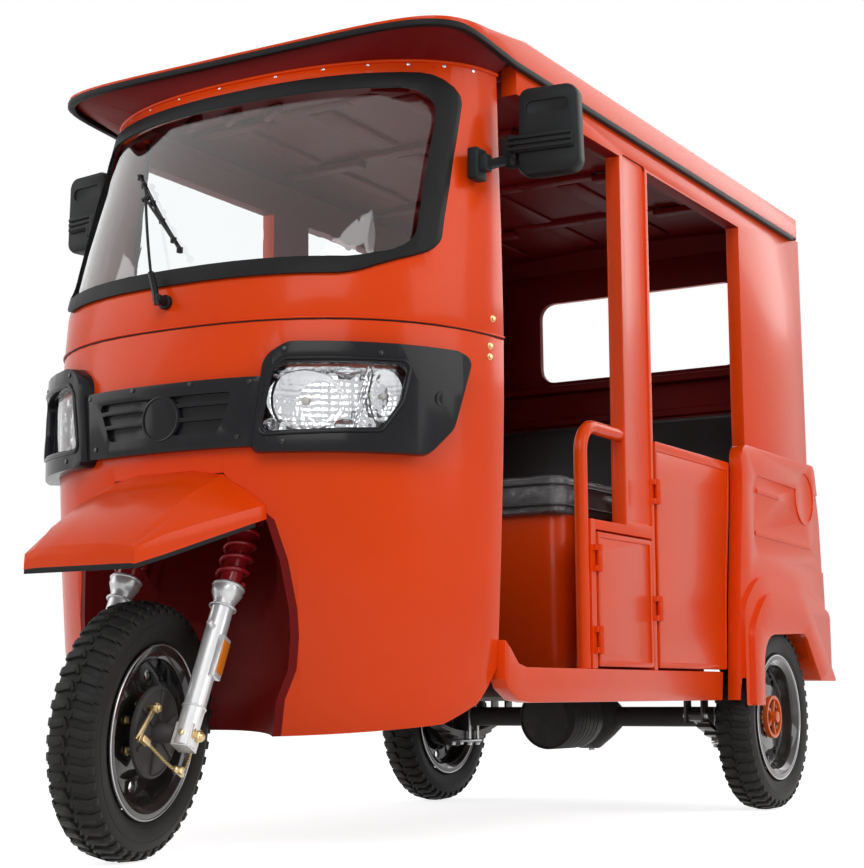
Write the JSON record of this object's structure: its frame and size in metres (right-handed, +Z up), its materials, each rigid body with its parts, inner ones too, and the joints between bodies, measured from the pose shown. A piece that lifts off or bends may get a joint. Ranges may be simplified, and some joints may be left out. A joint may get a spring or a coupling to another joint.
{
  "type": "electric rickshaw",
  "caption": "Closed-cab three-wheeled passenger rickshaw with a steered front fork, low doors, bench seat and a rear drive axle.",
  "frame": {"origin": "ground level under the middle of the vehicle's outer box", "axes": "+X to the vehicle's left, +Y to its rear so that it faces -Y, +Z up"},
  "size_m": [1.533, 2.9471, 1.9032],
  "materials": {
    "orange_paint": "gloss paint",
    "maroon_floor": "satin paint",
    "black_paint": "gloss paint",
    "cast_casing": "painted casting",
    "clear_glass": "clear",
    "clear_lens": "clear moulded",
    "black_rubber": "matt",
    "black_plastic": "gloss moulding",
    "reflector": "bright faceted",
    "red_lens": "moulded lens",
    "black_vinyl": "vinyl cover",
    "silver_paint": "silver paint",
    "red_spring": "red enamel",
    "black_steel": "black paint",
    "tyre_rubber": "moulded rubber",
    "orange_cap": "gloss moulding"
  },
  "bodies": {
    "root": {"chassis_frame": "black_paint", "floor_pan": "maroon_floor", "side_sills": "orange_paint", "cab_nose": "orange_paint", "wheel_well": "orange_paint", "cab_surround": "orange_paint", "windscreen_glass": "clear_glass", "windscreen_seal": "black_rubber", "dash_panel": "black_plastic", "grille_strip": "black_plastic", "lamp_bezels": "black_plastic", "lamp_reflectors": "reflector", "lamp_lenses": "clear_lens", "front_mudguard": "orange_paint", "wiper": "black_rubber", "mirrors": "black_plastic", "roof_panel": "orange_paint", "gutter_trim": "black_rubber", "side_frames": "orange_paint", "grab_hoops": "orange_paint", "door_seals": "black_rubber", "rear_quarters": "orange_paint", "rear_wall": "orange_paint", "tail_lamps": "red_lens", "rear_bumper": "black_paint", "driver_seat_base": "orange_paint", "driver_seat_cushion": "black_vinyl", "passenger_seat_base": "orange_paint", "passenger_seat_cushion": "black_vinyl", "passenger_seat_back": "black_vinyl", "battery_pack": "black_plastic", "rear_axle": "cast_casing", "leaf_springs": "black_paint"},
    "steering": {"fork_legs": "silver_paint", "fork_springs": "red_spring", "fork_yokes": "black_paint", "handlebar": "black_paint", "front_brake": "black_steel"},
    "front_wheel": {"front_tyre": "tyre_rubber", "front_rim": "black_paint"},
    "rear_wheel_left": {"rear_tyre_left": "tyre_rubber", "rear_rim_left": "black_paint", "rear_cap_left": "orange_cap"},
    "rear_wheel_right": {"rear_tyre_right": "tyre_rubber", "rear_rim_right": "black_paint", "rear_cap_right": "orange_cap"},
    "door_front_left": {"door_front_left": "orange_paint"},
    "door_front_right": {"door_front_right": "orange_paint"},
    "door_rear_left": {"door_rear_left": "orange_paint"},
    "door_rear_right": {"door_rear_right": "orange_paint"}
  },
  "joints": [
    {"name": "steering", "type": "hinge", "parent": "root", "child": "steering", "pos_m": [0, -1.17416, 0.27], "axis": [0, 0.4067, 0.9135], "range_deg": [-47, 23]},
    {"name": "front_wheel_spin", "type": "hinge", "parent": "steering", "child": "front_wheel", "pos_m": [0.00624, -1.20671, 0.26903], "axis": [0.9781, 0.1899, -0.0846], "continuous": true},
    {"name": "rear_wheel_left_spin", "type": "hinge", "parent": "root", "child": "rear_wheel_left", "pos_m": [0.565, 1.007, 0.27], "axis": [1, 0, 0], "continuous": true},
    {"name": "rear_wheel_right_spin", "type": "hinge", "parent": "root", "child": "rear_wheel_right", "pos_m": [-0.565, 1.007, 0.27], "axis": [1, 0, 0], "continuous": true},
    {"name": "door_front_left_hinge", "type": "hinge", "parent": "root", "child": "door_front_left", "pos_m": [0.585, -0.147, 0.57], "axis": [0, 0, -1], "range_deg": [0, 75]},
    {"name": "door_front_right_hinge", "type": "hinge", "parent": "root", "child": "door_front_right", "pos_m": [-0.585, -0.147, 0.57], "axis": [0, 0, 1], "range_deg": [0, 75]},
    {"name": "door_rear_left_hinge", "type": "hinge", "parent": "root", "child": "door_rear_left", "pos_m": [0.585, 0.218, 0.714], "axis": [0, 0, -1], "range_deg": [0, 75]},
    {"name": "door_rear_right_hinge", "type": "hinge", "parent": "root", "child": "door_rear_right", "pos_m": [-0.585, 0.218, 0.714], "axis": [0, 0, 1], "range_deg": [0, 75]}
  ]
}
